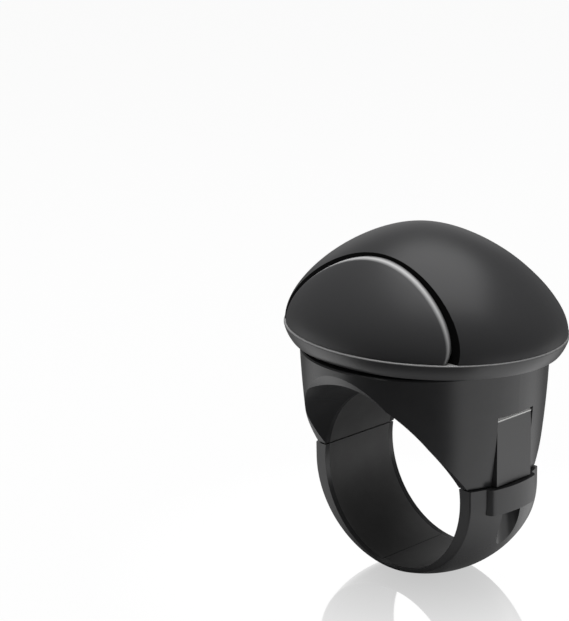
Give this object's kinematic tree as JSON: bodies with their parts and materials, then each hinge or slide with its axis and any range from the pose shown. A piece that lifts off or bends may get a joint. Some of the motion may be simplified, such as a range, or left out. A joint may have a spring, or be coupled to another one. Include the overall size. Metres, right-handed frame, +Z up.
{
  "type": "steering wheel spinner knob",
  "caption": "Clamp-on spinner knob for a steering wheel: a split ring closes round the rim, and an oval domed palm knob turns freely on a bearing above it.",
  "frame": {"origin": "centre of the clamp's bore, on the axis of the steering wheel's rim", "axes": "+Z up the spindle from the bore to the knob, +Y along the bore, +X across the rim, towards one of the two clamp screws"},
  "size_m": [0.066, 0.055, 0.0778],
  "materials": {
    "clamp_plastic": "moulded black plastic, fine satin texture",
    "dome_plastic": "moulded black plastic, smooth satin",
    "panel_plastic": "moulded black plastic, smooth satin",
    "plate_plastic": "moulded black plastic, satin",
    "liner_rubber": "matte black pad",
    "black_zinc": "die-cast zinc, black coating",
    "black_steel": "black oxide steel",
    "plated_steel": "bright zinc plating",
    "bearing_steel": "ground steel",
    "spring_steel": "phosphated spring steel",
    "nylon": "natural nylon"
  },
  "bodies": {
    "clamp": {"clamp_saddle": "clamp_plastic", "liner_top": "liner_rubber", "spindle_bolt": "plated_steel", "spindle_spacer": "plated_steel", "bearing_inner_race": "bearing_steel", "spindle_washer": "plated_steel", "lock_nut": "plated_steel", "lock_nut_collar": "nylon", "nut_block_left": "black_zinc", "nut_block_right": "black_zinc"},
    "knob": {"knob_shell": "dome_plastic", "grip_panel_front": "panel_plastic", "grip_panel_back": "panel_plastic", "knob_plate": "plate_plastic", "bearing_outer_race": "bearing_steel", "bearing_shield_lower": "bearing_steel", "bearing_shield_upper": "bearing_steel", "retaining_ring": "spring_steel"},
    "cage": {"bearing_cage": "nylon", "bearing_balls": "bearing_steel"},
    "strap": {"clamp_strap": "clamp_plastic", "liner_left": "liner_rubber", "liner_right": "liner_rubber", "clamp_screw_left": "black_steel", "clamp_screw_right": "black_steel"}
  },
  "joints": [
    {"name": "knob_spin", "type": "hinge", "parent": "clamp", "child": "knob", "pos_m": [0, 0, 0.0348], "axis": [0, 0, 1], "continuous": true},
    {"name": "cage_spin", "type": "hinge", "parent": "clamp", "child": "cage", "pos_m": [0, 0, 0.0348], "axis": [0, 0, 1], "continuous": true},
    {"name": "clamp_draw", "type": "slide", "parent": "clamp", "child": "strap", "axis": [0, 0, -1], "range_m": [0, 0.006]}
  ],
  "couplings": [
    {"joint": "cage_spin", "follows": "knob_spin", "ratio": 0.6296}
  ]
}
